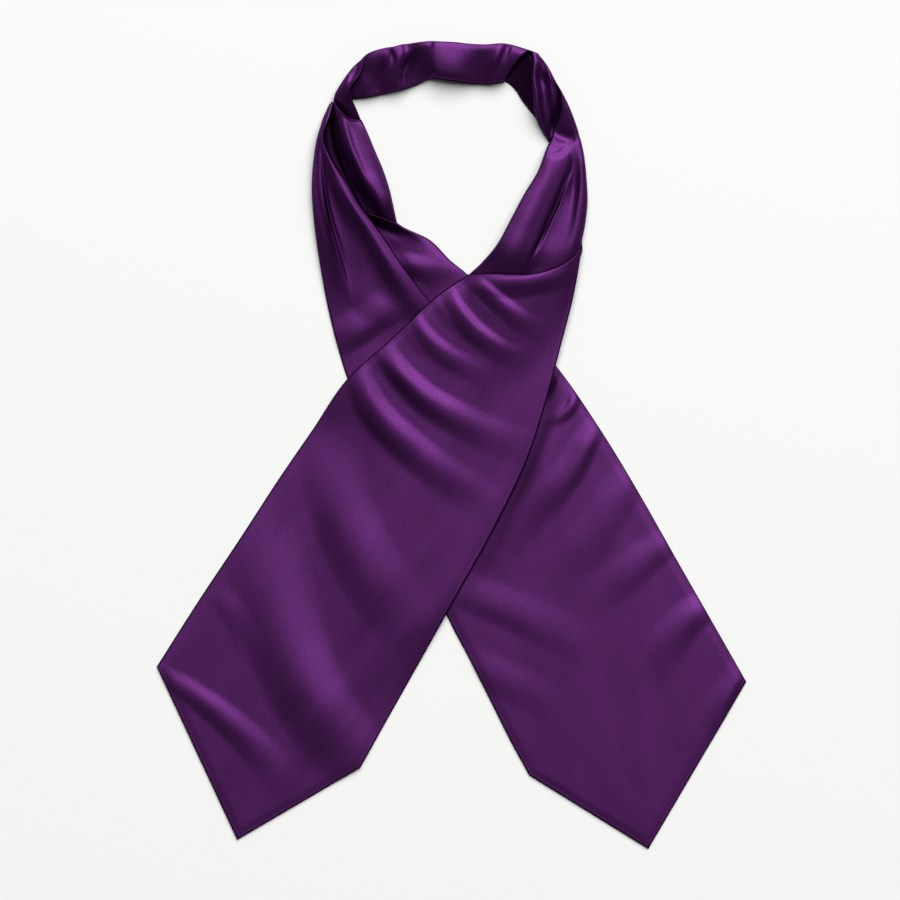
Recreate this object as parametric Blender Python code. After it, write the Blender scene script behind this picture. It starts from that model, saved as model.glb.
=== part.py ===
"""A silk cravat laid flat: two pointed blades that cross below a gathered neck loop.

Lengths are in millimetres until a mesh is made, where MM turns them into metres. Seen
from straight above, +X is right, +Y is towards the neck loop and +Z is up. The origin
lies on the table, under the middle of the outline.

Every stretch of cloth is a patch between a left and a right edge. Its table has a row for
each section, with the two ends of the section and the height of the cloth there. A blade
is a wall of even thickness, lifted where it lies on other cloth and where a fold runs. A
gathered stretch is one rounded solid, since its hidden layers are packed tight.
"""
from collections import namedtuple

import bmesh
import bpy
import numpy as np
from mathutils import Vector
from mathutils.bvhtree import BVHTree

MM = 0.001
WALL = 2.5              # face, interlining and back of a blade, pressed flat
PRESSED_EDGE = 1.7      # the same at its seamed edge
ROLL_SIDE = 2.6         # height at which the side of a gathered roll turns under
TUCK = 0.9              # how far an underside stays inside the outline above it
PULL = 0.27             # each stretch ends this far inside the line it shares with the next
CLEARANCE = 0.35        # clear height between a blade and the cloth it lies on
SPREAD = 9.0            # a blade lifts this far before it reaches the cloth under it
BUNDLE_END = 0.20       # share of the upper blade that has packed layers inside its top fold
LIP_HEIGHT = 0.62       # height of the upper blade's top fold at its outline, as a share

SILK = (0.085, 0.012, 0.115, 1.0)
SILK_ROUGHNESS = 0.36

Section = namedtuple("Section", "left_x left_y right_x right_y crown")
Fold = namedtuple("Fold", "height half_width path")
Stretch = namedtuple("Stretch", "across along crowding first_bend last_bend sections folds")

NECK_BACK = Stretch(
    across=12, along=30, crowding=1.0,
    first_bend=[(-67.0, 232.0), (-65.5, 236.0), (-61.5, 240.0), (-59.5, 246.0)],
    last_bend=[(37.0, 242.5), (41.0, 248.0), (45.5, 253.5)],
    sections=[
        Section(-65.5, 227.5, -57.5, 254.5, 11.0),
        Section(-52.5, 229.5, -49.5, 259.5, 13.0),
        Section(-39.0, 232.5, -38.0, 262.5, 14.0),
        Section(-26.0, 236.0, -26.0, 264.0, 14.0),
        Section(-10.0, 241.0, -13.0, 265.5, 13.5),
        Section(2.5, 238.5, 2.5, 264.5, 14.0),
        Section(15.5, 237.0, 17.5, 263.0, 14.0),
        Section(25.5, 237.0, 35.0, 263.5, 14.5),
        Section(34.5, 239.0, 51.5, 259.5, 13.0),
    ],
    folds=[
        Fold(-2.2, 6.0, [(-56.5, 256.0), (-52.5, 244.0), (-46.0, 230.0)]),
        Fold(-2.4, 4.5, [(-22.5, 260.0), (-27.5, 247.0), (-32.5, 233.0)]),
        Fold(-1.6, 4.5, [(-13.0, 266.0), (-11.5, 248.0)]),
        Fold(-1.6, 5.0, [(34.0, 265.0), (33.0, 253.5), (28.0, 241.0)]),
    ],
)
LEFT_CORNER = Stretch(
    across=8, along=12, crowding=1.0,
    first_bend=[],
    last_bend=[(-75.3, 222.8), (-70.5, 217.9), (-65.7, 215.5)],
    sections=[
        Section(-60.3, 252.8, -58.0, 249.6, 12.5),
        Section(-65.0, 247.5, -62.0, 240.0, 15.0),
        Section(-70.0, 242.0, -66.0, 235.0, 15.0),
        Section(-74.0, 236.0, -65.8, 228.0, 13.0),
        Section(-76.5, 231.5, -63.0, 222.0, 9.0),
        Section(-77.3, 228.0, -60.1, 214.7, 6.5),
    ],
    folds=[
        Fold(-4.0, 5.0, [(-74.0, 226.0), (-67.0, 222.0), (-60.0, 218.0)]),
    ],
)
LEFT_INNER_ROLL = Stretch(
    across=12, along=18, crowding=1.0,
    first_bend=[(-75.9, 222.0), (-71.1, 217.1), (-66.3, 214.6)],
    last_bend=[(-56.0, 153.8), (-47.0, 151.0)],
    sections=[
        Section(-77.7, 226.8, -60.0, 213.7, 13.0),
        Section(-77.0, 215.5, -55.5, 206.5, 14.0),
        Section(-75.0, 200.5, -50.5, 194.5, 13.5),
        Section(-70.5, 186.5, -45.0, 181.5, 12.5),
        Section(-66.0, 174.5, -41.0, 169.5, 11.5),
        Section(-62.5, 165.0, -38.5, 159.0, 10.0),
        Section(-59.0, 157.6, -36.2, 147.0, 8.0),
    ],
    folds=[],
)
LEFT_STRAND = Stretch(
    across=14, along=26, crowding=1.0,
    first_bend=[],
    last_bend=[],
    sections=[
        Section(-82.2, 220.3, -78.2, 222.0, 7.0),
        Section(-86.5, 208.5, -79.5, 207.0, 10.0),
        Section(-90.5, 188.0, -74.0, 189.0, 12.0),
        Section(-92.0, 165.0, -65.0, 165.5, 12.5),
        Section(-90.0, 138.5, -49.5, 144.5, 12.0),
        Section(-86.0, 114.0, -36.5, 124.5, 10.0),
        Section(-80.0, 84.5, -24.0, 108.0, 7.0),
        Section(-73.5, 59.5, -12.0, 93.0, 4.5),
        Section(-62.0, 27.5, -2.5, 79.5, 3.0),
    ],
    folds=[
        Fold(-4.5, 5.0, [(-86.5, 190.0), (-85.0, 174.5), (-83.0, 161.5), (-78.0, 136.5), (-70.5, 115.5)]),
        Fold(-3.0, 11.0, [(-78.0, 140.0), (-74.5, 128.5), (-70.5, 115.5), (-67.5, 92.0)]),
        Fold(-3.5, 6.0, [(-84.0, 206.0), (-78.5, 190.0), (-71.0, 176.0), (-64.0, 166.0)]),
    ],
)
LEFT_BACK_FOLD = Stretch(
    across=8, along=14, crowding=1.0,
    first_bend=[(-55.7, 152.6), (-47.0, 149.6)],
    last_bend=[],
    sections=[
        Section(-58.5, 156.3, -36.0, 145.5, 8.0),
        Section(-49.5, 144.5, -23.5, 140.5, 6.5),
        Section(-36.5, 124.5, -7.5, 129.5, 5.5),
        Section(-24.0, 108.0, 4.5, 117.5, 5.0),
        Section(-12.0, 93.0, 13.5, 109.0, 4.0),
        Section(-2.5, 79.5, 21.5, 100.5, 3.0),
    ],
    folds=[],
)
RIGHT_CORNER = Stretch(
    across=10, along=18, crowding=1.0,
    first_bend=[(37.2, 242.4), (41.2, 247.9), (45.7, 253.4)],
    last_bend=[],
    sections=[
        Section(34.7, 238.9, 51.7, 259.4, 7.0),
        Section(40.5, 235.0, 59.0, 253.5, 10.5),
        Section(45.0, 228.0, 63.5, 247.0, 12.5),
        Section(49.5, 222.0, 66.0, 238.5, 13.0),
        Section(55.0, 216.0, 70.8, 229.5, 12.5),
        Section(58.0, 208.5, 70.5, 219.5, 11.5),
        Section(61.5, 203.0, 67.5, 209.5, 9.5),
        Section(64.0, 199.5, 65.5, 203.0, 8.0),
    ],
    folds=[
        Fold(-3.0, 5.0, [(41.0, 243.0), (47.0, 241.0), (50.0, 232.0), (53.5, 222.0)]),
        Fold(-2.5, 4.5, [(60.5, 248.0), (61.0, 234.0), (63.0, 220.0), (65.0, 208.0)]),
    ],
)
RIGHT_STRAND = Stretch(
    across=14, along=28, crowding=1.0,
    first_bend=[],
    last_bend=[(25.5, 113.1), (38.5, 112.6), (51.5, 112.6), (63.5, 115.1), (73.4, 119.1), (79.9, 124.1)],
    sections=[
        Section(65.0, 246.6, 68.0, 241.8, 8.0),
        Section(67.5, 237.5, 72.5, 234.0, 11.0),
        Section(71.6, 227.5, 77.0, 224.0, 13.0),
        Section(69.8, 214.0, 82.5, 207.5, 14.0),
        Section(65.8, 201.5, 86.5, 191.0, 14.5),
        Section(59.0, 186.0, 89.0, 174.5, 14.0),
        Section(48.5, 165.5, 89.0, 158.0, 13.0),
        Section(38.5, 148.5, 88.0, 145.0, 12.0),
        Section(25.5, 127.0, 86.5, 136.5, 10.5),
        Section(11.2, 112.7, 85.1, 128.7, 9.0),
    ],
    folds=[
        Fold(-4.5, 5.5, [(80.0, 186.0), (73.5, 169.5), (66.0, 152.5), (58.0, 135.0), (48.0, 112.0)]),
        Fold(-1.8, 4.0, [(82.5, 198.0), (81.5, 181.5), (80.0, 161.5), (75.5, 134.0)]),
        Fold(-2.2, 4.0, [(62.0, 206.0), (74.0, 207.5), (86.0, 208.5)]),
    ],
)
UPPER_BLADE = Stretch(
    across=20, along=44, crowding=1.2,
    first_bend=[(25.5, 113.0), (38.5, 112.5), (51.5, 112.5), (63.5, 115.0), (73.5, 119.0), (80.0, 124.0)],
    last_bend=[(-141.0, -259.5)],
    sections=[
        Section(11.0, 112.5, 85.0, 128.5, 9.0),
        Section(-11.5, 96.5, 80.0, 98.5, 7.5),
        Section(-39.0, 70.5, 71.5, 64.0, 5.0),
        Section(-69.0, 43.0, 62.0, 28.5, 3.0),
        Section(-91.0, 11.0, 49.0, -11.0, 1.5),
        Section(-114.0, -22.5, 27.5, -55.5, 0.5),
        Section(-139.0, -61.0, 3.0, -99.5, 0.0),
        Section(-166.0, -101.5, -26.0, -151.5, 0.0),
        Section(-194.0, -145.5, -60.0, -212.0, 0.0),
    ],
    folds=[
        Fold(4.0, 9.0, [(3.0, 114.0), (11.0, 107.0), (24.0, 96.5), (38.5, 84.0), (56.0, 76.0)]),
        Fold(4.5, 9.5, [(-10.0, 108.0), (5.0, 88.5), (19.0, 75.5), (33.0, 66.0), (55.0, 60.0)]),
        Fold(3.5, 10.0, [(-31.0, 92.0), (-15.5, 72.0), (-1.0, 59.5), (18.0, 50.0)]),
        Fold(6.0, 12.0, [(-52.0, 74.0), (-26.5, 47.5), (-11.0, 32.5), (7.0, 20.0), (32.0, 7.0)]),
        Fold(4.5, 14.0, [(-67.0, 50.0), (-53.5, 26.0), (-42.0, 9.5), (-30.0, -2.5), (-8.0, -18.0)]),
        Fold(3.0, 22.0, [(-81.5, 6.0), (-78.5, -24.0), (-65.5, -65.5), (-45.5, -111.5), (-28.0, -142.0)]),
        Fold(4.0, 26.0, [(-127.0, -38.0), (-120.5, -75.5), (-103.0, -128.0), (-83.0, -180.5), (-64.0, -216.0)]),
        Fold(3.5, 18.0, [(-194.0, -141.0), (-165.5, -165.5), (-147.0, -184.0), (-129.5, -201.5), (-96.0, -224.0)]),
    ],
)
UNDER_BLADE = Stretch(
    across=18, along=36, crowding=1.0,
    first_bend=[],
    last_bend=[(129.5, -265.5)],
    sections=[
        Section(-61.5, 26.5, 22.0, 100.5, 0.0),
        Section(-44.0, -16.0, 45.5, 76.0, 0.0),
        Section(-24.0, -63.0, 69.5, 51.5, 0.0),
        Section(-3.5, -111.0, 99.5, 8.0, 0.0),
        Section(12.0, -141.0, 124.0, -32.5, 0.0),
        Section(25.5, -168.0, 147.5, -74.0, 0.0),
        Section(38.5, -194.0, 171.5, -116.0, 0.0),
        Section(51.0, -217.0, 194.0, -155.5, 0.0),
    ],
    folds=[
        Fold(3.0, 11.0, [(93.0, 17.0), (88.0, -1.5), (80.0, -16.0), (69.5, -29.5), (48.5, -55.5)]),
        Fold(2.5, 17.0, [(120.0, -5.0), (108.0, -36.0), (97.5, -55.5), (75.0, -83.0)]),
        Fold(2.5, 14.0, [(150.0, -56.0), (130.5, -72.5), (117.5, -84.5), (96.0, -101.0)]),
        Fold(2.5, 16.0, [(175.0, -100.0), (154.5, -113.5), (142.5, -128.0), (134.0, -153.0)]),
    ],
)


def smooth_path(points, places):
    """Catmull-Rom curve through the rows of a table, read at places from 0 to 1 along it."""
    knots = np.array(points, float)
    before = 2 * knots[0] - knots[1]
    after = 2 * knots[-1] - knots[-2]
    padded = np.vstack([before, knots, after])
    position = np.asarray(places) * (len(knots) - 1)
    row = np.minimum(position.astype(int), len(knots) - 2)
    u = (position - row)[:, None]
    a, b, c, d = (padded[row + step] for step in range(4))
    cubic = (3 * b - a - 3 * c + d) * u ** 3
    square = (2 * a - 5 * b + 4 * c - d) * u ** 2
    return 0.5 * (2 * b + (c - a) * u + square + cubic)


def along_edge(points, places):
    """Points on a run of straight lines, read at places given as shares of its length."""
    knots = np.array(points, float)
    steps = np.linalg.norm(np.diff(knots, axis=0), axis=1)
    length = np.concatenate([[0.0], np.cumsum(steps)])
    wanted = np.asarray(places) * length[-1]
    return np.stack([np.interp(wanted, length, knots[:, axis]) for axis in range(2)], axis=1)


def end_edge(start, bend, stop, places, pointed):
    """The end of a stretch: straight to a point and back, or a smooth curve through its bend."""
    points = [start, *bend, stop]
    if len(bend) > 1 and not pointed:
        points = smooth_path(points, np.linspace(0, 1, 8 * len(points)))
    return along_edge(points, places)


def columns(stretch):
    """Places of the grid columns across a stretch, with one exactly on a blade's point."""
    even = np.linspace(0, 1, stretch.across + 1)
    if len(stretch.last_bend) != 1:
        return even
    row = stretch.sections[-1]
    tip = np.array(stretch.last_bend[0])
    left_side = np.linalg.norm(tip - (row.left_x, row.left_y))
    right_side = np.linalg.norm(tip - (row.right_x, row.right_y))
    share = left_side / (left_side + right_side)
    middle = round(share * stretch.across)
    return np.interp(even, [0, middle / stretch.across, 1], [0, share, 1])


def patch_points(stretch, s, t):
    """Plan of a stretch at places s across and t along: its side edges blended with its ends."""
    table = np.array(stretch.sections)
    left = smooth_path(table[:, 0:2], t.ravel()).reshape(*t.shape, 2)
    right = smooth_path(table[:, 2:4], t.ravel()).reshape(*t.shape, 2)
    start_left, start_right = table[0, 0:2], table[0, 2:4]
    stop_left, stop_right = table[-1, 0:2], table[-1, 2:4]
    pointed = len(stretch.last_bend) == 1
    first = end_edge(start_left, stretch.first_bend, start_right, s.ravel(), False)
    last = end_edge(stop_left, stretch.last_bend, stop_right, s.ravel(), pointed)
    s = s[..., None]
    t = t[..., None]
    between_sides = (1 - s) * left + s * right
    between_ends = (1 - t) * first.reshape(left.shape) + t * last.reshape(left.shape)
    start = (1 - s) * start_left + s * start_right
    stop = (1 - s) * stop_left + s * stop_right
    return between_sides + between_ends - (1 - t) * start - t * stop


def drawn_in(stretch, s, t, distance):
    """Plan of a stretch with its outline moved inwards by a distance, at most a fifth across."""
    plan = patch_points(stretch, s, t)
    width = np.linalg.norm(plan[-1] - plan[0], axis=1)[None, :]
    length = np.linalg.norm(np.diff(plan, axis=1), axis=2).sum(axis=1)[:, None]
    side_share = np.minimum(distance / width, 0.2)
    end_share = distance / length
    return patch_points(stretch, s + side_share * (1 - 2 * s), t + end_share * (1 - 2 * t))


def places(stretch):
    """Places s across and t along a stretch for every point of its grid."""
    t = np.linspace(0, 1, stretch.along + 1) ** stretch.crowding
    s, t = np.meshgrid(columns(stretch), t, indexing="ij")
    return s, t


def crowns(stretch, t):
    """Height of the cloth from the table's last column, at places t along the stretch."""
    table = np.array(stretch.sections)
    return np.maximum(smooth_path(table[:, 4:5], t.ravel()).reshape(t.shape), 0)


def ridges(x, y, folds):
    """Sum of soft ridges: height x (1 - (distance / half width)^2)^2, faded to both ends."""
    total = np.zeros_like(x)
    for fold in folds:
        path = smooth_path(fold.path, np.linspace(0, 1, 25))
        nearest = np.full(x.shape, np.inf)
        place = np.zeros_like(x)
        for index, (a, b) in enumerate(zip(path[:-1], path[1:])):
            step = b - a
            share = ((x - a[0]) * step[0] + (y - a[1]) * step[1]) / np.dot(step, step)
            share = np.clip(share, 0, 1)
            distance = np.hypot(x - a[0] - share * step[0], y - a[1] - share * step[1])
            closer = distance < nearest
            nearest = np.where(closer, distance, nearest)
            place = np.where(closer, (index + share) / (len(path) - 1), place)
        across = np.clip(1 - (nearest / fold.half_width) ** 2, 0, 1) ** 2
        fade = np.clip(4 * place * (1 - place), 0, 1) ** 0.5
        total += fold.height * across * fade
    return total


def roll_grids(stretch):
    """A gathered stretch: flat below, and above an arch (1 - |2s - 1|^3)^0.7 from side to side."""
    s, t = places(stretch)
    crown = crowns(stretch, t)
    plan = drawn_in(stretch, s, t, PULL)
    side = np.minimum(ROLL_SIDE, 0.6 * crown)
    arch = (1 - np.abs(2 * s - 1) ** 3) ** 0.7
    height = side + (crown - side) * arch + arch * ridges(plan[..., 0], plan[..., 1], stretch.folds)
    height = np.maximum(height, side)
    return np.dstack([plan, height]), np.dstack([drawn_in(stretch, s, t, PULL + TUCK), 0 * height])


def blade_grids(stretch, lower_pieces):
    """A blade: a wall lifted by the cloth below it, by its folds and by its packed top fold."""
    s, t = places(stretch)
    crown = crowns(stretch, t)
    plan = drawn_in(stretch, s, t, PULL)
    x, y = plan[..., 0], plan[..., 1]
    support = resting_height(x, y, lower_pieces)
    hump = crown * (1 - np.abs(2 * s - 1) ** 4)
    lift = hump + np.maximum(ridges(x, y, stretch.folds), 0)
    wall = np.full_like(lift, PRESSED_EDGE)
    wall[1:-1, 1:-1] = WALL
    bundle = np.clip(1 - t / BUNDLE_END, 0, 1) * (crown[0, 0] > 0)
    top = support + lift + wall
    if crown[0, 0] > 0:
        top[:, 0] = np.maximum(LIP_HEIGHT * top[:, 0], support[:, 0] + PRESSED_EDGE)
    bottom = np.minimum(support + lift * (1 - bundle), top - PRESSED_EDGE)
    return np.dstack([plan, top]), np.dstack([drawn_in(stretch, s, t, PULL + TUCK), bottom])


def resting_height(x, y, lower_pieces):
    """Highest cloth below each place and within SPREAD of it, with the clear height added."""
    trees = [BVHTree.FromPolygons(*piece) for piece in lower_pieces]
    turns = np.linspace(0, 2 * np.pi, 12, endpoint=False)
    ring = [(np.cos(turn), np.sin(turn)) for turn in turns]
    offsets = [(0, 0)] + [(r * c, r * n) for r in (0.5 * SPREAD, SPREAD) for c, n in ring]
    height = np.zeros_like(x)
    for place in np.ndindex(x.shape):
        for dx, dy in offsets:
            above = Vector((x[place] + dx, y[place] + dy, 100.0))
            for tree in trees:
                hit = tree.ray_cast(above, Vector((0, 0, -1)))[0]
                if hit is not None:
                    height[place] = max(height[place], hit.z + CLEARANCE)
    return height


def grid_faces(top, bottom):
    """Vertices and faces of the closed solid between two grids of the same size."""
    columns_count, rows_count = top.shape[:2]
    number = np.arange(columns_count * rows_count).reshape(columns_count, rows_count)
    below = number + number.size
    quads = np.stack([number[:-1, 1:], number[1:, 1:], number[1:, :-1], number[:-1, :-1]], axis=-1)
    faces = quads.reshape(-1, 4).tolist()
    faces += (quads[..., ::-1] + number.size).reshape(-1, 4).tolist()
    for side in range(4):
        upper = np.rot90(number, side)[0]
        lower = np.rot90(below, side)[0]
        faces += np.stack([upper[1:], upper[:-1], lower[:-1], lower[1:]], axis=-1).tolist()
    points = np.vstack([top.reshape(-1, 3), bottom.reshape(-1, 3)])
    return points.tolist(), faces


def silk_material(name):
    """Purple satin as a plain glossy colour."""
    material = bpy.data.materials.new(name)
    material.use_nodes = True
    shader = material.node_tree.nodes["Principled BSDF"]
    shader.inputs["Base Color"].default_value = SILK
    shader.inputs["Roughness"].default_value = SILK_ROUGHNESS
    shader.inputs["Metallic"].default_value = 0.0
    return material


def make_piece(name, points, faces):
    """One closed object in metres with its faces outwards."""
    mesh = bpy.data.meshes.new(name)
    mesh.from_pydata([(x * MM, y * MM, z * MM) for x, y, z in points], [], faces)
    shape = bmesh.new()
    shape.from_mesh(mesh)
    bmesh.ops.triangulate(shape, faces=shape.faces)
    shape.to_mesh(mesh)
    shape.free()
    mesh.shade_smooth()
    mesh.materials.append(silk_material(name + "_silk"))
    piece = bpy.data.objects.new(name, mesh)
    bpy.context.scene.collection.objects.link(piece)
    return piece


def build():
    """Make every stretch, the ones below first, because the blades rest on them."""
    for old in list(bpy.data.objects):
        bpy.data.objects.remove(old)
    solids = {}
    rolls = {
        "neck_back": NECK_BACK,
        "left_corner": LEFT_CORNER,
        "left_inner_roll": LEFT_INNER_ROLL,
        "left_strand": LEFT_STRAND,
        "left_back_fold": LEFT_BACK_FOLD,
        "right_corner": RIGHT_CORNER,
        "right_strand": RIGHT_STRAND,
    }
    for name, stretch in rolls.items():
        solids[name] = grid_faces(*roll_grids(stretch))
    solids["under_blade"] = grid_faces(*blade_grids(UNDER_BLADE, []))
    below = [solids[name] for name in ("under_blade", "left_strand", "left_back_fold")]
    solids["upper_blade"] = grid_faces(*blade_grids(UPPER_BLADE, below))
    for name, (points, faces) in solids.items():
        make_piece(name, points, faces)


build()
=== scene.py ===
# %% [markdown]
# # A silk cravat laid flat
#
# A self-tie cravat has two wide pointed ends. Each is sewn from two layers of satin, turned
# like a bag and pressed flat. Between them the cloth narrows and is gathered into a band that
# goes round the neck. Here it lies on a pale table with its ends crossed.
#
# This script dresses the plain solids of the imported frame. Each solid is replaced by a finer
# piece of cloth with its folds, its pressed edges and its satin. The frame is loaded first,
# because it fixes the size and place of everything that follows.

# %% Load the frame
from collections import namedtuple

import bpy
import numpy as np
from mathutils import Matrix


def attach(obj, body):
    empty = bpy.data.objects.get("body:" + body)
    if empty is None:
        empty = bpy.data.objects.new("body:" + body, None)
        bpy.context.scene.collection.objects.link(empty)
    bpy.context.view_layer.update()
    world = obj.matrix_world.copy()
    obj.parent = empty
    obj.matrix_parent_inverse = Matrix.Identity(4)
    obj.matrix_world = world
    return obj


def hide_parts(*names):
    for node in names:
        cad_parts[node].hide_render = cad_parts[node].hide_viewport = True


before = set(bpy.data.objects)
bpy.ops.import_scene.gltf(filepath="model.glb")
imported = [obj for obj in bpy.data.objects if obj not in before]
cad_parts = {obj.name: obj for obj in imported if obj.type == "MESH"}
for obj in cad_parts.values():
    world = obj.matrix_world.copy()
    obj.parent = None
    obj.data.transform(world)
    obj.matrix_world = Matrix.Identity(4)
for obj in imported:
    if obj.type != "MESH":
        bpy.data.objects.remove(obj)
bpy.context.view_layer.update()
MM = 0.001
print("nodes:", sorted(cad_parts))

# %% [markdown]
# ## Camera and light
#
# The camera looks straight down, as it does for a garment laid out on a table. It stands 3 m
# away, so that raised folds are hardly larger than the table around them.
#
# Satin is a mirror that has been brushed: it shows a blurred picture of the room. So the room
# matters more than the colour of the thread. One large soft lamp stands to the upper right,
# and folds that face it shine. A pale room fills the rest, and a fold that turns away is
# almost black. The lamp is soft enough that the table shows only faint shadows.

# %% Camera straight above the table
VIEW_WIDTH = 592 * MM
VIEW_CENTRE = (-1.0 * MM, -3.0 * MM)
CAMERA_HEIGHT = 3.0
SENSOR = 36.0

camera_data = bpy.data.cameras.new("table_camera")
camera_data.sensor_width = SENSOR
camera_data.lens = SENSOR * CAMERA_HEIGHT / VIEW_WIDTH
camera = bpy.data.objects.new("table_camera", camera_data)
camera.location = (*VIEW_CENTRE, CAMERA_HEIGHT)
bpy.context.scene.collection.objects.link(camera)
bpy.context.scene.camera = camera
print("lens in mm:", round(camera_data.lens, 1))

# %% Pale table
HALF_TABLE = 1.6
TABLE_COLOUR = (0.93, 0.93, 0.92, 1)

scene = bpy.context.scene
scene.view_settings.view_transform = "Standard"

table_mesh = bpy.data.meshes.new("table_top")
corner_signs = ((-1, -1), (1, -1), (1, 1), (-1, 1))
table_corners = [(x * HALF_TABLE, y * HALF_TABLE, 0) for x, y in corner_signs]
table_mesh.from_pydata(table_corners, [], [(0, 1, 2, 3)])
table_paint = bpy.data.materials.new("pale_table")
table_paint.use_nodes = True
table_shader = table_paint.node_tree.nodes["Principled BSDF"]
table_shader.inputs["Base Color"].default_value = TABLE_COLOUR
table_shader.inputs["Roughness"].default_value = 0.9
table_shader.inputs["Specular IOR Level"].default_value = 0.1
table_mesh.materials.append(table_paint)
table = bpy.data.objects.new("table_top", table_mesh)
scene.collection.objects.link(table)
print("table in m:", 2 * HALF_TABLE, "square")

# %% Soft room and one large lamp
ROOM_COLOUR = (1.0, 0.99, 1.0, 1)
ROOM_STRENGTH = 0.06

room = bpy.data.worlds.new("pale_room")
room.use_nodes = True
room.node_tree.nodes["Background"].inputs["Color"].default_value = ROOM_COLOUR
room.node_tree.nodes["Background"].inputs["Strength"].default_value = ROOM_STRENGTH
scene.world = room


def soft_lamp(name, azimuth, elevation, distance, size, power):
    """A square area lamp on a sphere round the cloth, turned to face it."""
    turn, rise = np.radians(azimuth), np.radians(elevation)
    lamp_data = bpy.data.lights.new(name, "AREA")
    lamp_data.shape = "SQUARE"
    lamp_data.size = size
    lamp_data.energy = power
    lamp = bpy.data.objects.new(name, lamp_data)
    flat = distance * np.cos(rise)
    lamp.location = (flat * np.cos(turn), flat * np.sin(turn), distance * np.sin(rise))
    lamp.rotation_euler = (0, np.pi / 2 - rise, turn)
    scene.collection.objects.link(lamp)
    return lamp


window = soft_lamp("window", azimuth=75, elevation=52, distance=11.0, size=10.2, power=1840)
print("lamp stands at", [round(part, 2) for part in window.location])

# %% [markdown]
# ## Satin
#
# Satin is woven with long loose threads on its face. They lie side by side like brushed metal
# and send light back in the colour of the silk, not white. A metallic shader does the same, so
# most of the finish is metallic, with a rest of plain dye for the depth between threads.
#
# The threads are a tenth of a millimetre, too fine to model. A node group gives what the eye
# sees of them: a fine grain stretched along the cloth, small points of light painted into the
# colour as glints, and dye whose tone varies a little. It reads the UV map of each piece,
# which holds millimetres across and along the cloth, so that the grain follows every bend.
#
# Where an edge turns under, and deep in a closed crease, silk lies in shade and is almost
# black. That shade is painted into the colour, and so is lighter shade in hollows, gaps and
# beside raised cloth: each piece carries an attribute that says where, from 0 to 1, and the
# material mixes in that near-black colour.

# %% Node group for the threads
# Painted glints: how strongly random points of light are painted into the colour.
PAINTED_GLINT_GAIN = 3.2
ROUGHNESS_SWING = 0.12


def thread_group():
    """Grain of satin from the UV map: stretched noise, a finer speckle and painted glints."""
    group = bpy.data.node_groups.new("satin_threads", "ShaderNodeTree")
    sockets = group.interface
    sockets.new_socket("Colour", in_out="INPUT", socket_type="NodeSocketColor")
    sockets.new_socket("Unevenness_and_glints", in_out="INPUT", socket_type="NodeSocketFloat")
    sockets.new_socket("Roughness", in_out="INPUT", socket_type="NodeSocketFloat")
    sockets.new_socket("Colour", in_out="OUTPUT", socket_type="NodeSocketColor")
    sockets.new_socket("Roughness", in_out="OUTPUT", socket_type="NodeSocketFloat")
    sockets.new_socket("Height", in_out="OUTPUT", socket_type="NodeSocketFloat")
    nodes, links = group.nodes, group.links
    given = nodes.new("NodeGroupInput")
    result = nodes.new("NodeGroupOutput")
    place = nodes.new("ShaderNodeUVMap")
    place.uv_map = "cloth_mm"

    def noise(across, along, detail):
        """Noise whose cells are the given number of millimetres across and along."""
        stretch = nodes.new("ShaderNodeMapping")
        stretch.inputs["Scale"].default_value = (1 / across, 1 / along, 1)
        links.new(place.outputs["UV"], stretch.inputs["Vector"])
        texture = nodes.new("ShaderNodeTexNoise")
        texture.noise_dimensions = "2D"
        texture.inputs["Scale"].default_value = 1.0
        texture.inputs["Detail"].default_value = detail
        links.new(stretch.outputs["Vector"], texture.inputs["Vector"])
        return texture.outputs["Fac"]

    def combine(operation, first, second):
        """A maths node on two values, each a socket or a number."""
        maths = nodes.new("ShaderNodeMath")
        maths.operation = operation
        for socket, value in zip(maths.inputs, (first, second)):
            if isinstance(value, (int, float)):
                socket.default_value = value
            else:
                links.new(value, socket)
        return maths.outputs[0]

    long_threads = noise(across=0.55, along=7.0, detail=2.0)
    speckle = noise(across=0.9, along=1.3, detail=3.0)
    dye = noise(across=26.0, along=55.0, detail=2.0)
    dots = noise(across=0.8, along=0.8, detail=1.0)
    grain = combine("ADD", combine("MULTIPLY", long_threads, 0.5), combine("MULTIPLY", speckle, 0.5))
    shift = combine("ADD", combine("SUBTRACT", grain, 0.5), combine("SUBTRACT", dye, 0.5))
    # Painted glints: random points painted lighter and darker into the colour, standing in for glints on
    # the threads.
    painted_glints = combine("MULTIPLY", combine("SUBTRACT", dots, 0.5), PAINTED_GLINT_GAIN)
    uneven_and_glints = combine("MULTIPLY", combine("ADD", shift, painted_glints), given.outputs["Unevenness_and_glints"])
    bright = combine("ADD", uneven_and_glints, 1.0)
    tint = nodes.new("ShaderNodeMix")
    tint.data_type = "RGBA"
    tint.blend_type = "MULTIPLY"
    tint.inputs["Factor"].default_value = 1.0
    links.new(given.outputs["Colour"], tint.inputs["A"])
    links.new(bright, tint.inputs["B"])
    links.new(tint.outputs["Result"], result.inputs["Colour"])
    rough = combine("MULTIPLY", combine("SUBTRACT", grain, 0.5), ROUGHNESS_SWING)
    links.new(combine("ADD", rough, given.outputs["Roughness"]), result.inputs["Roughness"])
    links.new(grain, result.inputs["Height"])
    return group


threads = thread_group()
print("thread group has", len(threads.nodes), "nodes")

# %% The purple satin
SATIN_COLOUR = (0.088, 0.0185, 0.117, 1)
# Painted shade: the near-black colour mixed in on turned edges, in closed creases and in gaps.
SHADE_COLOUR = (0.012, 0.003, 0.015, 1)
GLOSS_TINT = (0.45, 0.16, 0.50, 1)
GLOSS_LEVEL = 0.3
SATIN_ROUGHNESS = 0.46
# Scales the dye, the grain and the painted glints in the colour.
UNEVENNESS_AND_GLINTS = 0.35
METALLIC_SHARE = 0.85
GRAIN_STRENGTH = 0.12
GRAIN_DEPTH = 0.15 * MM


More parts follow.
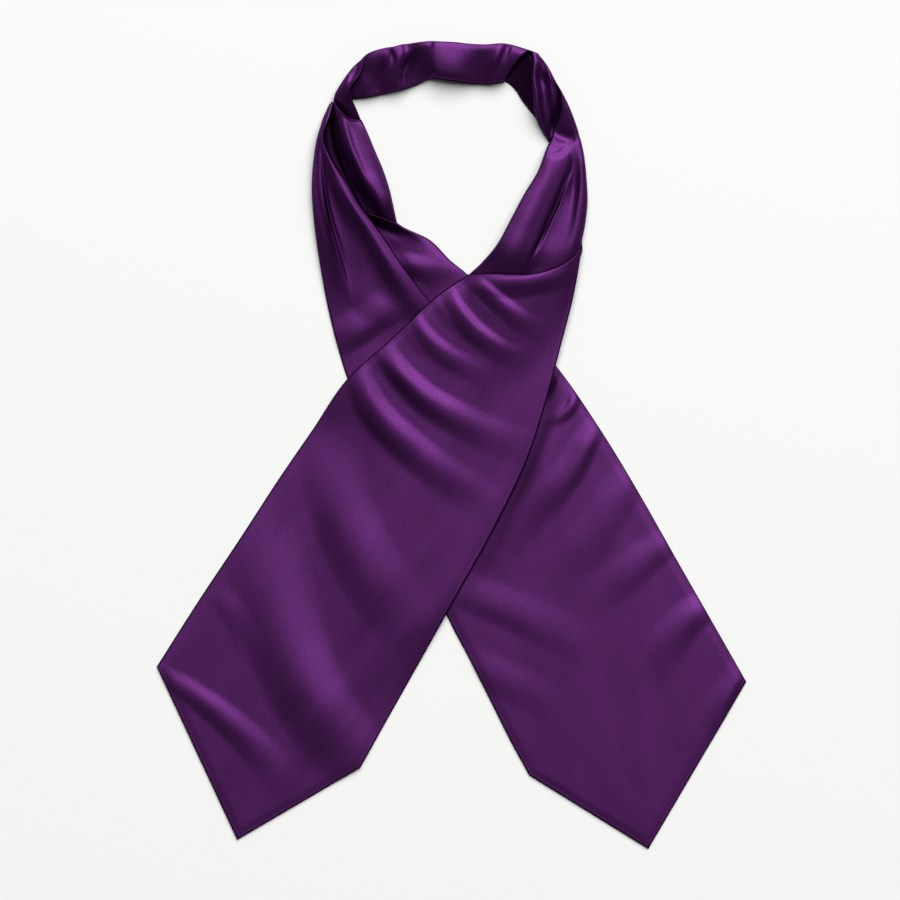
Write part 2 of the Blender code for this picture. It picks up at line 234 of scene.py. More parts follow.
def satin(name):
    """Purple satin: a mostly metallic shader fed by the thread group, darkened by painted shade."""
    material = bpy.data.materials.new(name)
    material.use_nodes = True
    nodes, links = material.node_tree.nodes, material.node_tree.links
    shader = nodes["Principled BSDF"]
    weave = nodes.new("ShaderNodeGroup")
    weave.node_tree = threads
    weave.inputs["Colour"].default_value = SATIN_COLOUR
    weave.inputs["Unevenness_and_glints"].default_value = UNEVENNESS_AND_GLINTS
    weave.inputs["Roughness"].default_value = SATIN_ROUGHNESS
    # Painted shade: the cloth_shade attribute mixes the near-black colour into the base colour.
    shade = nodes.new("ShaderNodeAttribute")
    shade.attribute_name = "cloth_shade"
    darken = nodes.new("ShaderNodeMix")
    darken.data_type = "RGBA"
    darken.inputs["B"].default_value = SHADE_COLOUR
    links.new(shade.outputs["Fac"], darken.inputs["Factor"])
    links.new(weave.outputs["Colour"], darken.inputs["A"])
    links.new(darken.outputs["Result"], shader.inputs["Base Color"])
    links.new(weave.outputs["Roughness"], shader.inputs["Roughness"])
    shader.inputs["Metallic"].default_value = METALLIC_SHARE
    shader.inputs["Specular IOR Level"].default_value = GLOSS_LEVEL
    shader.inputs["Specular Tint"].default_value = GLOSS_TINT
    bump = nodes.new("ShaderNodeBump")
    bump.inputs["Strength"].default_value = GRAIN_STRENGTH
    bump.inputs["Distance"].default_value = GRAIN_DEPTH
    links.new(weave.outputs["Height"], bump.inputs["Height"])
    links.new(bump.outputs["Normal"], shader.inputs["Normal"])
    return material


SATIN = satin("purple_satin")
print("satin has", len(SATIN.node_tree.nodes), "nodes")

# %% [markdown]
# ## How a piece of cloth is described
#
# A stretch of cloth lies between a left and a right edge. Its table has a row for each section
# across it: where the section starts and stops, and seven heights of the cloth at equal steps
# between. Smooth curves join the rows, so a few sections give the whole surface. The first
# and last edge may bend, as at a lip or at the point of an end.
#
# Folds come on top. Each is a soft ridge, or a trough where its height is below zero, that
# runs along its own path. It has one width on its left and another on its right, because a
# fold of silk leans over: steep on one side, with a long slope on the other.
#
# Where two folds close on each other, or one layer dives under the next, no light comes out.
# A stretch lists those places as shades, painted into the cloth's colour. They are written
# like folds, but their height is the share of the cloth's colour that is lost to painted shade.

# %% Tables for sections, folds and shades
Section = namedtuple("Section", "left_x left_y right_x right_y heights")
Fold = namedtuple("Fold", "name height left_width right_width opens peak path")
Stretch = namedtuple("Stretch", "columns rows sections first_bend last_bend folds shades",
                     defaults=[()])

# %% Smooth curves through a table
END_STEPS = 12


def curve_weights(count, places):
    """Catmull-Rom weights of each knot at places 0 to 1, with the end knots mirrored outwards."""
    position = np.clip(places, 0, 1) * (count - 1)
    row = np.minimum(position.astype(int), count - 2)
    u = position - row
    cubic = [
        0.5 * (-u ** 3 + 2 * u ** 2 - u),
        0.5 * (3 * u ** 3 - 5 * u ** 2 + 2),
        0.5 * (-3 * u ** 3 + 4 * u ** 2 + u),
        0.5 * (u ** 3 - u ** 2),
    ]
    weights = np.zeros((len(position), count + 2))
    order = np.arange(len(position))
    for step, share in enumerate(cubic):
        weights[order, row + step] = share
    inner = weights[:, 1:-1].copy()
    inner[:, 0] += 2 * weights[:, 0]
    inner[:, 1] -= weights[:, 0]
    inner[:, -1] += 2 * weights[:, -1]
    inner[:, -2] -= weights[:, -1]
    return inner


def smooth_path(points, places):
    """Smooth curve through the rows of a table, read at places 0 to 1 along it."""
    return curve_weights(len(points), places) @ np.array(points, float)


def along_edge(points, places):
    """Points on a run of straight lines, at places given as shares of its length."""
    knots = np.array(points, float)
    steps = np.linalg.norm(np.diff(knots, axis=0), axis=1)
    length = np.concatenate([[0.0], np.cumsum(steps)])
    wanted = places * length[-1]
    return np.stack([np.interp(wanted, length, knots[:, axis]) for axis in range(2)], axis=1)


def end_edge(start, bend, stop, places):
    """The end of a stretch: straight to a single point and back, or a smooth curve."""
    points = [start, *bend, stop]
    if len(bend) > 1:
        points = smooth_path(points, np.linspace(0, 1, END_STEPS * len(points)))
    return along_edge(points, places)


# %% [markdown]
# The plan of a stretch is a Coons patch: the blend of its two side edges, plus the blend of
# its two ends, less the straight blend of its four corners. It keeps all four edges exactly.
#
# Columns stand closer together near the two side edges, where the cloth bends round and the
# seam needs a fine grid. On an end with a point, one column runs exactly into the point.

# %% Plan of a stretch
SIDE_CROWDING = 0.72
END_CROWDING = 0.6


def crowded_places(count, crowding):
    """Places 0 to 1, closer at both ends: an even row blended with half a cosine wave."""
    even = np.linspace(0, 1, count)
    return (1 - crowding) * even + crowding * (0.5 - 0.5 * np.cos(np.pi * even))


def columns_of(stretch):
    """Places 0 to 1 across a stretch, closer at both sides, with one column on a point."""
    crowded = crowded_places(stretch.columns, SIDE_CROWDING)
    if len(stretch.last_bend) != 1:
        return crowded
    last = stretch.sections[-1]
    tip = np.array(stretch.last_bend[0])
    left_side = np.linalg.norm(tip - (last.left_x, last.left_y))
    right_side = np.linalg.norm(tip - (last.right_x, last.right_y))
    point = left_side / (left_side + right_side)
    nearest = crowded[np.argmin(np.abs(crowded - point))]
    return np.interp(crowded, [0, nearest, 1], [0, point, 1])


def rows_of(stretch):
    """Places 0 to 1 along a stretch, closer at both ends."""
    return crowded_places(stretch.rows, END_CROWDING)


def plan_of(stretch, s, t):
    """Coons patch of a stretch on the grid of columns s and rows t, in millimetres."""
    table = np.array([section[:4] for section in stretch.sections])
    weights = curve_weights(len(table), t)
    left, right = weights @ table[:, 0:2], weights @ table[:, 2:4]
    first = end_edge(table[0, 0:2], stretch.first_bend, table[0, 2:4], s)
    last = end_edge(table[-1, 0:2], stretch.last_bend, table[-1, 2:4], s)
    s = s[:, None, None]
    t = t[None, :, None]
    between_sides = (1 - s) * left[None] + s * right[None]
    between_ends = (1 - t) * first[:, None] + t * last[:, None]
    corners = (1 - t) * ((1 - s) * left[0] + s * right[0])
    corners = corners + t * ((1 - s) * left[-1] + s * right[-1])
    return between_sides + between_ends - corners


def heights_of(stretch, s, t):
    """Smooth surface through the seven heights of every section."""
    table = np.array([section.heights for section in stretch.sections])
    across = curve_weights(table.shape[1], s)
    along = curve_weights(table.shape[0], t)
    return np.maximum(across @ table.T @ along.T, 0)


# %% [markdown]
# A fold needs to know how far each point of the cloth is from the fold's path, on which side,
# and how far along the path. The whole grid is compared with every short step of the path at
# once, and the nearest step wins.

# %% Distance to a path, and folds
PATH_STEPS = 8
OUTLINE_PART = 60


def path_distance(x, y, path):
    """Distance of every grid point to a path, above zero on its left, and the place along it."""
    step = np.diff(path, axis=0)
    away_x = x[..., None] - path[:-1, 0]
    away_y = y[..., None] - path[:-1, 1]
    length_2 = (step ** 2).sum(axis=1)
    share = np.clip((away_x * step[:, 0] + away_y * step[:, 1]) / length_2, 0, 1)
    distance = np.hypot(away_x - share * step[:, 0], away_y - share * step[:, 1])
    nearest = distance.argmin(axis=-1)[..., None]
    side = np.sign(step[:, 0] * away_y - step[:, 1] * away_x)
    signed = np.take_along_axis(distance * np.where(side == 0, 1, side), nearest, axis=-1)
    place = (nearest + np.take_along_axis(share, nearest, axis=-1)) / len(step)
    return signed[..., 0], place[..., 0]


def soft_step(value):
    """Smooth rise from 0 to 1 while the value goes from 0 to 1."""
    value = np.clip(value, 0, 1)
    return value * value * (3 - 2 * value)


def folds_on(x, y, folds):
    """Sum of ridges: height x (1 - q^2)^2, where q is the distance over the width of its side.

    The width grows along the path to opens times its first value. The height grows from the
    start of the path to its peak and sinks again to the end.
    """
    total = np.zeros_like(x)
    for fold in folds:
        path = smooth_path(fold.path, np.linspace(0, 1, PATH_STEPS * len(fold.path)))
        distance, place = path_distance(x, y, path)
        width = np.where(distance > 0, fold.left_width, fold.right_width)
        width = width * (1 + (fold.opens - 1) * place)
        ridge = np.clip(1 - (distance / width) ** 2, 0, 1) ** 2
        fade = soft_step(place / fold.peak) * soft_step((1 - place) / (1 - fold.peak))
        total += fold.height * ridge * fade
    return total


def outline_distance(x, y):
    """Distance of every grid point to the outline of its own grid, one part of it at a time."""
    ring = [
        (x[:, 0], y[:, 0]),
        (x[-1], y[-1]),
        (x[::-1, -1], y[::-1, -1]),
        (x[0, ::-1], y[0, ::-1]),
    ]
    outline = np.concatenate([np.stack(side, axis=1)[:-1] for side in ring])
    outline = np.vstack([outline, outline[:1]])
    every_second = np.append(np.arange(0, len(outline) - 1, 2), len(outline) - 1)
    steps = outline[every_second]
    distance = np.full(x.shape, np.inf)
    for start in range(0, len(steps) - 1, OUTLINE_PART):
        part, _ = path_distance(x, y, steps[start:start + OUTLINE_PART + 1])
        distance = np.minimum(distance, np.abs(part))
    return distance


# %% [markdown]
# The UV map holds millimetres across and along the cloth, measured on the plan, so the satin
# grain keeps its size on every piece. The attribute of the painted shade is stored on its
# vertices.

# %% Closed shell from two grids
CM2_PER_M2 = 1e4
TRIANGLES = {}


def cloth_piece(name, x, y, top, bottom, shade, node, flat):
    """A closed mesh between two heights over one plan, in place of a solid of the frame."""
    number = np.arange(x.size).reshape(x.shape)
    inside = np.zeros(x.shape, bool)
    inside[1:-1, 1:-1] = True
    below = number.copy()
    below[inside] = x.size + np.arange(inside.sum())
    points = np.vstack([
        np.stack([x, y, top], axis=-1).reshape(-1, 3),
        np.stack([x, y, bottom], axis=-1)[inside],
    ]) * MM
    quads = np.stack([number[:-1, 1:], number[1:, 1:], number[1:, :-1], number[:-1, :-1]], axis=-1)
    under = np.stack([below[:-1, :-1], below[1:, :-1], below[1:, 1:], below[:-1, 1:]], axis=-1)
    faces = np.vstack([quads.reshape(-1, 4), under.reshape(-1, 4)])
    mesh = bpy.data.meshes.new(name)
    mesh.from_pydata(points.tolist(), [], faces.tolist())
    step_across = np.hypot(np.diff(x, axis=0), np.diff(y, axis=0))
    step_along = np.hypot(np.diff(x, axis=1), np.diff(y, axis=1))
    across = np.vstack([np.zeros((1, x.shape[1])), np.cumsum(step_across, axis=0)])
    along = np.hstack([np.zeros((x.shape[0], 1)), np.cumsum(step_along, axis=1)])
    across = across - across[-1] / 2
    place = np.stack([across, along], axis=-1)
    place = np.vstack([place.reshape(-1, 2), place[inside]])
    layer = mesh.uv_layers.new(name="cloth_mm")
    layer.data.foreach_set("uv", place[faces.ravel()].ravel())
    # Painted shade: per vertex, the share of colour that the material darkens.
    stored = mesh.attributes.new("cloth_shade", "FLOAT", "POINT")
    stored.data.foreach_set("value", np.concatenate([shade.ravel(), shade[inside]]))
    mesh.shade_smooth()
    mesh.materials.append(SATIN)
    piece = bpy.data.objects.new(name, mesh)
    scene.collection.objects.link(piece)
    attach(piece, "root")
    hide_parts(node)
    edge_a = points[faces[:, 2]] - points[faces[:, 0]]
    edge_b = points[faces[:, 3]] - points[faces[:, 1]]
    surface = 0.5 * np.linalg.norm(np.cross(edge_a, edge_b), axis=1).sum()
    TRIANGLES[name] = len(faces) * 2
    print(f"{name}: {TRIANGLES[name]} triangles, one side {surface / 2 * CM2_PER_M2:.1f} cm2,"
          f" stated {flat[0] * flat[1] * CM2_PER_M2:.1f} cm2,"
          f" up to {points[:, 2].max() / MM:.1f} mm high")
    return piece


# %% [markdown]
# ## Gathered stretches
#
# Round the neck the satin is folded lengthwise many times and packed into rolls. Only their
# outer layer shows, so a roll is one rounded piece. Its side turns under along a quarter of a
# circle. With e the distance from the outline and r the radius of the turn, the height is the
# full one times the square root of 1 - (1 - e / r)^2. Where the cloth is low, r is at most
# nine tenths of its height.
#
# The same distance e places painted shade on the turned edge, a thin dark line where the
# cloth turns under: all of the colour is lost up to 0.2 mm from the outline, and none beyond
# 1.1 mm.

# %% Roll maker
EDGE_SHADE_FULL = 0.225
EDGE_SHADE_REACH = 1.125
LEAST_HEIGHT = 0.8
TURN_SHARE = 0.9


def rounded(edge, radius):
    """Share of the full height at a distance from the outline, along a quarter circle."""
    return np.sqrt(np.clip(1 - (1 - np.clip(edge / radius, 0, 1)) ** 2, 0, 1))


def shade_of(x, y, edge, stretch, least=0.0):
    """Share of colour lost to painted shade: the largest of the edge, the shades and the least."""
    edge_shade = soft_step((EDGE_SHADE_REACH - edge) / (EDGE_SHADE_REACH - EDGE_SHADE_FULL))
    return np.clip(np.maximum(np.maximum(edge_shade, folds_on(x, y, stretch.shades)), least), 0, 1)


def make_roll(name, stretch, radius, node, flat, dark=0.0):
    """A gathered stretch: its heights and folds over a flat underside, with a round edge.

    A layer deep in a gap is painted as shade all over: dark is the least share of colour it loses.
    """
    s, t = columns_of(stretch), rows_of(stretch)
    plan = plan_of(stretch, s, t)
    x, y = plan[..., 0], plan[..., 1]
    edge = outline_distance(x, y)
    full = np.maximum(heights_of(stretch, s, t) + folds_on(x, y, stretch.folds), LEAST_HEIGHT)
    top = full * rounded(edge, np.minimum(radius, TURN_SHARE * full))
    top[[0, -1], :] = 0
    top[:, [0, -1]] = 0
    # Painted shade: the turned edge, the listed shades and, for a layer deep in a gap, the whole layer.
    shade = shade_of(x, y, edge, stretch, dark)
    return cloth_piece(name, x, y, top, 0 * top, shade, node, flat)


# %% [markdown]
# ### Back of the neck
#
# The band is one strip folded on itself. Across it run a few creases where it was gathered:
# two crests with hollows between them on the left, dark by their shape and by painted shade, a
# wide smooth swell in the middle and a narrow crest near the right end.

# %% Neck band
NECK_BACK = Stretch(
    columns=70, rows=210,
    sections=[
        Section(-70.5, 227.5, -61.5, 251.5, (3, 3.6, 4.4, 5, 5.4, 5.4, 4.5)),
        Section(-60, 228, -56.5, 256.5, (4.6, 6, 7.2, 8.6, 10, 11, 11)),
        Section(-53.5, 229, -51.5, 259, (5.8, 7, 8.4, 10, 11.8, 13, 13)),
        Section(-45.5, 230.5, -44.5, 261, (4.8, 6.4, 8.4, 10.6, 12.6, 13.6, 13.4)),
        Section(-39, 232, -38, 262, (6.6, 8.4, 10.2, 11.8, 13, 13.6, 13)),
        Section(-33, 233.5, -32.5, 263.5, (7.4, 9.2, 11, 12.6, 13.2, 12.5, 11.4)),
        Section(-28, 235, -28, 264, (5.4, 7, 8.8, 10.4, 11.7, 12, 11.4)),
        Section(-20, 238, -20.5, 265, (4.6, 6.2, 8.4, 10.8, 13, 14.4, 14.2)),
        Section(-13.5, 241, -14, 265.5, (6.6, 8.8, 11, 13, 14.6, 15.2, 14.6)),
        Section(-7.5, 240.5, -9, 265.5, (10.2, 12.2, 13, 13.5, 13.7, 13.5, 12.6)),
        Section(2.5, 239, 2.5, 265, (9.8, 12, 13, 13.2, 13, 12.6, 11.6)),
        Section(11, 238, 11.5, 264, (7.6, 9.6, 11, 12, 12.5, 12.5, 11.6)),
        Section(19, 237.5, 22, 263.5, (5.8, 7.4, 9.1, 10.7, 12.1, 13, 12.4)),
        Section(26.5, 237.5, 36, 264, (7.4, 9.2, 10.8, 12.1, 12.9, 13, 12)),
        Section(35, 239, 52.5, 259.5, (6, 7.8, 9.6, 11, 11.8, 11.8, 9.6)),
    ],
    first_bend=[(-72, 232.5), (-69.5, 238), (-66, 244)],
    last_bend=[(38, 243), (41, 248), (45.5, 253.5)],
    folds=[
        Fold("dark spot", -1.2, 3, 3, 1, 0.5,
             [(-43, 261.5), (-40, 257.5), (-38.5, 252.5), (-40, 246)]),
        Fold("hook crest", 1.2, 4, 6, 1.6, 0.25,
             [(-37, 265.5), (-34, 261), (-32.5, 255), (-34.5, 248.5), (-38.5, 240.5)]),
        Fold("first hollow", -2.2, 2, 4.5, 1, 0.5,
             [(-21.5, 263.5), (-24.5, 256.5), (-28.5, 250.5), (-31.5, 244), (-32.5, 232.5)]),
        Fold("pale patch", 0.6, 6, 6, 1, 0.5, [(-59, 246), (-56.5, 239), (-54.5, 234), (-53.5, 228)]),
        Fold("third crest", 1.2, 4, 5, 1, 0.5, [(33, 265.5), (30.5, 257), (26.5, 248.5), (21.5, 236.5)]),
        Fold("end hollow", -1.3, 3, 5, 1, 0.35, [(39, 265.5), (37, 260), (34.5, 253.5), (31.5, 246)]),
    ],
    # Painted shade: darker colour in the first hollow and in the left hollow.
    shades=[
        Fold("in the first hollow", 0.45, 3, 7, 1, 0.5,
             [(-16, 268), (-19, 262), (-23, 255), (-27, 248), (-30, 241), (-32, 233)]),
        Fold("in the left hollow", 0.4, 5, 5, 1, 0.5, [(-46, 263), (-45, 255), (-45, 247), (-48, 238)]),
    ],
)
make_roll("neck_band_satin", NECK_BACK, radius=1.4, node="neck_back", flat=(0.030, 0.118))

# %% [markdown]
# ### Left side of the loop
#
# Here the band turns down. A corner roll lies over the end of the band and its lower end opens
# in a small dark pocket. Below it the strand is three rolls side by side: a thick inner one
# whose lip closes the pocket, a middle one, and a thin outer one. A deep gap lies between the
# inner and the middle roll. A low strip of cloth, hollow along its middle, is its floor; its
# colour is darkened all over as painted shade.

# %% Left corner
LEFT_CORNER = Stretch(
    columns=46, rows=80,
    sections=[
        Section(-59.5, 253.5, -56.5, 253, (8, 9, 10, 11, 12, 12.6, 13)),
        Section(-65, 248.5, -59.5, 243, (8, 10.4, 11.4, 12, 12.2, 13.6, 15.4)),
        Section(-70, 242, -64.5, 236, (8, 11, 12.6, 13, 13.4, 14.8, 16)),
        Section(-74, 236, -66, 232.5, (8, 10, 11.4, 12, 12.4, 13.4, 14.6)),
        Section(-76.5, 231.5, -65, 227, (7, 8.4, 9.2, 9.6, 9.6, 9.8, 10)),
        Section(-77.5, 228, -63, 222.5, (6.4, 7.4, 7.8, 7.4, 6.8, 6.2, 5.4)),
        Section(-78, 223.5, -59.5, 214, (3.4, 2.4, 1.4, 0.8, 0.8, 0.8, 0.8)),
    ],
    first_bend=[],
    last_bend=[(-72, 218), (-67, 214)],
    folds=[
        Fold("dark crease", -1.4, 2.4, 2.2, 1, 0.5,
             [(-59.5, 252.5), (-62, 247), (-65, 242.5), (-68, 238.5)]),
    ],
)
make_roll("left_corner_satin", LEFT_CORNER, radius=1, node="left_corner", flat=(0.018, 0.045))

# %% Left inner roll and the floor of the gap
LEFT_INNER_ROLL = Stretch(
    columns=60, rows=130,
    sections=[
        Section(-77, 229.5, -59, 214, (9, 11.4, 12.6, 13.6, 13.4, 12.6, 11.6)),
        Section(-78.5, 217.5, -55.5, 206.5, (4.6, 9, 12.8, 14.2, 12.9, 12.7, 13)),
        Section(-77.5, 202.5, -50.5, 194.5, (4, 8, 12.2, 14.6, 13.1, 12.9, 13.3)),
        Section(-73.5, 188, -45, 181.5, (3, 6.2, 10.6, 14.4, 13.3, 12.9, 13.4)),
        Section(-69, 175.5, -41, 169.5, (2.6, 4.8, 8.4, 12.8, 13.8, 12.7, 13)),
        Section(-64, 165.5, -38.5, 159, (2.2, 3.2, 5.8, 9.2, 12.2, 11.8, 11.6)),
        Section(-59.5, 157, -36, 147.5, (2, 2.4, 3.2, 5, 7, 7.6, 6.2)),
        Section(-56.5, 150.5, -34, 143, (1, 1.2, 1.6, 2, 2.4, 2.4, 2)),
    ],
    first_bend=[(-75, 223.5), (-71.5, 219), (-67, 215)],
    last_bend=[],
    folds=[
        Fold("lip", 1.8, 2, 1.6, 1, 0.5,
             [(-78.5, 231.5), (-75.5, 223.5), (-72, 219), (-68, 215), (-63, 213.5), (-56.5, 213)]),
    ],
)
LEFT_GAP_FLOOR = Stretch(
    columns=24, rows=60,
    sections=[
        Section(-80.5, 224.5, -76, 224.5, (4, 2.6, 1.4, 0.8, 1.4, 2.6, 4)),
        Section(-86, 211, -75, 211, (5, 3, 1.4, 0.8, 1.4, 3, 5)),
        Section(-86.5, 199.5, -72, 197.5, (5, 3, 1.4, 0.8, 1.4, 3, 5)),
        Section(-82, 186.5, -67.5, 184.5, (5, 3, 1.4, 0.8, 1.4, 3, 5)),
        Section(-72.5, 172.5, -61.5, 170, (5, 3, 1.4, 0.8, 1.4, 3, 5)),
        Section(-63.5, 159.5, -54, 156.5, (4, 2.6, 1.4, 0.8, 1.4, 2.6, 4)),
    ],
    first_bend=[],
    last_bend=[],
    folds=[],
)
make_roll("left_inner_roll_satin", LEFT_INNER_ROLL, radius=1.4, node="left_inner_roll",
          flat=(0.030, 0.075))
# Painted shade: the floor of the gap is darkened all over to near-black.
make_roll("left_gap_floor_satin", LEFT_GAP_FLOOR, radius=1.5, node="left_strand",
          flat=(0.018, 0.075), dark=1)

# %% Left strand, middle and outer rolls
LEFT_STRAND = Stretch(
    columns=90, rows=230,
    sections=[
        Section(-79, 226.5, -77, 224.5, (5, 6, 7, 7, 7, 7, 6)),
        Section(-84, 215.5, -79.5, 215, (6, 8.4, 9.6, 10.4, 10.6, 10.4, 9)),
        Section(-88.5, 202.5, -83.5, 201.5, (6, 9, 10.6, 11.6, 12.4, 12.6, 11)),
        Section(-91, 186.5, -77.5, 186.5, (6, 9.6, 10.6, 11.4, 12.8, 14.2, 13)),
        Section(-92, 171.5, -68, 172, (6, 9.6, 10, 10.8, 13.6, 14.4, 12.6)),
        Section(-91.5, 158, -60, 158, (6, 9.4, 9.4, 9.8, 12.4, 14.4, 12.4)),
        Section(-89.5, 138.5, -46.5, 140, (5, 8.4, 8, 8, 9.6, 13, 10.8)),
        Section(-86, 115.5, -31, 117, (4, 6.4, 5.6, 6.2, 7.2, 10.8, 8.8)),
        Section(-81, 89, -15, 96, (2.6, 3.4, 3.6, 4.4, 4.6, 6.4, 5)),
        Section(-73.5, 59.5, -3, 84, (1.8, 2.4, 2.4, 2.4, 2.6, 2.8, 2.6)),
        Section(-65.5, 34.5, 9.5, 72, (1.8, 2.2, 2.2, 2.2, 2.2, 2.2, 2)),
    ],
    first_bend=[],
    last_bend=[],
    folds=[
        Fold("outer crease", 2.8, 1.6, 5.4, 1.7, 0.55,
             [(-87.5, 214), (-87.5, 201), (-86.5, 184.5), (-85, 169.5), (-83, 156.5), (-79.5, 143),
              (-76, 131.5), (-73, 120.5), (-70.5, 111), (-68, 101), (-66, 88)]),
        Fold("beside crease", -1.6, 2, 1.4, 1, 0.5,
             [(-86, 201), (-84.5, 184.5), (-83, 169.5), (-81, 156.5), (-77.5, 143), (-74, 131.5),
              (-71, 120.5), (-68.5, 111)]),
        Fold("low swell", 2, 16, 11, 1, 0.5,
             [(-84, 61), (-73, 68.5), (-59, 77), (-42, 88), (-18, 99)]),
        Fold("low crest", 0.6, 11, 11, 1, 0.5,
             [(-67, 120.5), (-64, 109), (-59, 97), (-48.5, 88.5), (-32.5, 84)]),
    ],
    # Painted shade: near-black colour along the closed crease between the outer and middle rolls.
    shades=[
        Fold("closed crease", 1, 1.5, 1.8, 2.4, 0.5,
             [(-87.5, 200), (-86.2, 184), (-85, 173.5), (-83.2, 162), (-81.3, 151), (-79.3, 140),
              (-75.3, 124.5), (-71.5, 114), (-68, 98.5)]),
    ],
)
make_roll("left_strand_satin", LEFT_STRAND, radius=1.2, node="left_strand", flat=(0.045, 0.205))

# %% [markdown]
# The back layer of the band comes out from under the inner roll with a bright lip, flattens
# quickly and runs on under the upper end.

# %% Back layer beside the left strand
LEFT_BACK_FOLD = Stretch(
    columns=50, rows=120,
    sections=[
        Section(-65.5, 163, -36, 146.5, (6, 8, 9.5, 10, 9.8, 9.2, 8.4)),
        Section(-57, 150.5, -29.5, 142.5, (1.6, 2, 2.4, 3, 4.6, 7, 6.8)),
        Section(-47, 135, -14, 135, (1.6, 2, 2.8, 3.6, 4.4, 4.8, 3.8)),
        Section(-34, 115.5, -1, 122, (2, 2.6, 3.6, 4.4, 4.7, 4.2, 3)),
        Section(-20.5, 98.5, 11, 112, (2, 2.4, 2.8, 3, 3, 2.8, 2.4)),
        Section(-7.5, 82.5, 21.5, 99.5, (2, 2.2, 2.4, 2.4, 2.4, 2.2, 1.8)),
    ],
    first_bend=[(-60, 157.5), (-55.5, 153.5), (-47, 150.5)],
    last_bend=[],
    folds=[
        Fold("lip", 1.4, 1.8, 2.6, 1, 0.5,
             [(-64, 161), (-59, 156.5), (-54.5, 152.5), (-46.5, 149.5), (-36, 145)]),
        Fold("back swell", 1.6, 8, 7, 1.4, 0.5,
             [(-43, 124.5), (-32.5, 119.5), (-19.5, 115.5), (-3.5, 107.5)]),
    ],
    # Painted shade: dark colour in the pocket under the lip.
    shades=[
        Fold("under the lip", 0.9, 3, 3.5, 1, 0.5,
             [(-58, 150.5), (-52.5, 148), (-46, 144), (-39, 141), (-33, 138), (-30, 134)]),
    ],
)
make_roll("left_back_fold_satin", LEFT_BACK_FOLD, radius=1.2, node="left_back_fold",
          flat=(0.034, 0.085))

# %% [markdown]
# ### Right side of the loop
#
# The band turns down here too, but opens: a narrow strip of its inner layer shows, then a
# hollow, then the outer roll. The strand lies over the outer roll with a lip of its own, and
# widens to the fold where the upper end begins. Its inner roll is high and bright, and slopes
# down to a deep crease with a thinner roll on the outside.

# %% Right corner
RIGHT_INNER_STRIP = Stretch(
    columns=44, rows=70,
    sections=[
        Section(29.5, 241, 46.5, 260.5, (0.8, 0.8, 1, 1.2, 2, 3.4, 5)),
        Section(36.5, 238.5, 53.5, 255.5, (1, 1.8, 2.8, 4, 5.4, 6.8, 8)),
        Section(42, 233.5, 55.5, 244, (2, 3, 4.4, 6, 7.8, 9.4, 10.4)),
        Section(46.5, 226.5, 57, 232.5, (2.4, 3.2, 4.4, 5.8, 7.4, 8.8, 9.8)),
        Section(51.5, 220, 59, 224, (2.4, 2.8, 3.4, 4.2, 5.2, 6, 6.8)),
        Section(55.5, 215, 61, 217, (2, 2, 2.2, 2.6, 3, 3.4, 4)),
    ],
    first_bend=[],
    last_bend=[],
    folds=[],
)
RIGHT_CORNER = Stretch(
    columns=60, rows=120,
    sections=[
        Section(51, 260, 57, 257.5, (8, 10, 11, 11.5, 11.5, 11, 9)),
        Section(52.5, 251.5, 63.5, 249, (11, 12.8, 12.6, 11.4, 10.2, 10.4, 9.4)),
        Section(51.5, 242, 69, 238.5, (11, 13, 8.4, 7.4, 9.4, 10.6, 9)),
        Section(52.5, 232, 74, 229.5, (11.4, 12.6, 7.4, 7.6, 9.4, 7.6, 6)),
        Section(54, 219.5, 74, 219.5, (10, 10.4, 6, 5, 6.6, 5, 4)),
        Section(58.5, 208.5, 71.5, 209.5, (6, 6.2, 3.4, 2, 2, 2.4, 3)),
        Section(64, 199.5, 67.5, 202.5, (3, 3, 2.4, 2, 2, 2, 2)),
    ],
    first_bend=[],
    last_bend=[],
    folds=[
        Fold("middle rib", 1, 2, 3, 1.4, 0.4,
             [(63.5, 251), (64, 243), (65, 234), (66, 224.5), (69, 215.5)]),
    ],
    # Painted shade: dark colour where the corner roll goes under the strand.
    shades=[
        Fold("under the strand", 0.85, 4, 5, 1.2, 0.6,
             [(70.5, 232), (69.5, 224), (67.5, 215), (65, 207), (62, 198)]),
    ],
)
# Painted shade: the inner strip is darkened all over, three quarters of the way to near-black.
make_roll("right_inner_strip_satin", RIGHT_INNER_STRIP, radius=2.0, node="right_corner",
          flat=(0.020, 0.045), dark=0.75)
make_roll("right_corner_satin", RIGHT_CORNER, radius=1.2, node="right_corner",
          flat=(0.019, 0.065))

